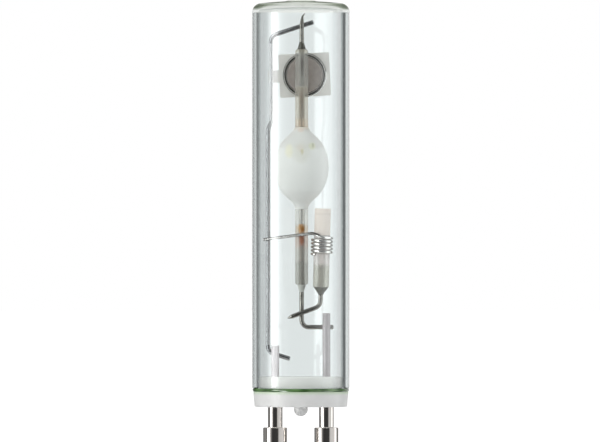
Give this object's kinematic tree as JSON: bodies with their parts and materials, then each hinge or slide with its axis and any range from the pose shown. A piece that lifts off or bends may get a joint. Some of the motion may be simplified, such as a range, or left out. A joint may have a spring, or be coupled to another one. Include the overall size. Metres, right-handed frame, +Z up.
{
  "type": "metal halide lamp",
  "caption": "Single-ended ceramic metal halide lamp: a clear domed tube over a ceramic burner, on a white base plate with headed contact pins.",
  "frame": {"origin": "on the lamp's axis, level with the free ends of its contact pins", "axes": "+Z up the lamp from its pins to its dome, +X from the short lead post to the tall one"},
  "size_m": [0.0124, 0.0124, 0.058],
  "materials": {
    "clear_glass": "clear polished glass with a faint green cast",
    "green_seal_glass": "fused green glass",
    "white_plate": "smooth satin white",
    "stem_glass": "milky glass",
    "nickel_plate": "polished nickel plate",
    "post_wire": "drawn satin wire",
    "translucent_alumina": "translucent satin alumina",
    "frit": "grey glass frit",
    "niobium": "drawn dull grey wire",
    "molybdenum": "wound dull wire",
    "tungsten": "dark ground metal",
    "halide_salt": "dried orange and brown salt",
    "frame_wire": "drawn grey wire",
    "getter_sheet": "rolled satin sheet",
    "getter_ring": "pressed satin steel",
    "getter_fill": "pressed grey powder",
    "igniter_ceramic": "translucent beige alumina",
    "aerial_wire": "bright drawn wire"
  },
  "bodies": {
    "root": {"outer_bulb": "clear_glass", "bulb_seal_ring": "green_seal_glass", "base_plate": "white_plate", "exhaust_stem": "stem_glass", "contact_pin_left": "nickel_plate", "contact_pin_right": "nickel_plate", "lead_post_left": "post_wire", "lead_post_right": "post_wire", "burner_vessel": "translucent_alumina", "upper_seal": "frit", "lower_seal": "frit", "upper_lead": "niobium", "lower_lead": "niobium", "upper_feedthrough": "molybdenum", "lower_feedthrough": "molybdenum", "upper_electrode": "tungsten", "lower_electrode": "tungsten", "upper_electrode_coil": "tungsten", "lower_electrode_coil": "tungsten", "halide_salt": "halide_salt", "frame_wire": "frame_wire", "getter_plate": "getter_sheet", "getter_ring": "getter_ring", "getter_pellet": "getter_fill", "igniter_tube": "igniter_ceramic", "igniter_seal": "frit", "igniter_lead": "niobium", "aerial_wire": "aerial_wire"}
  },
  "joints": []
}
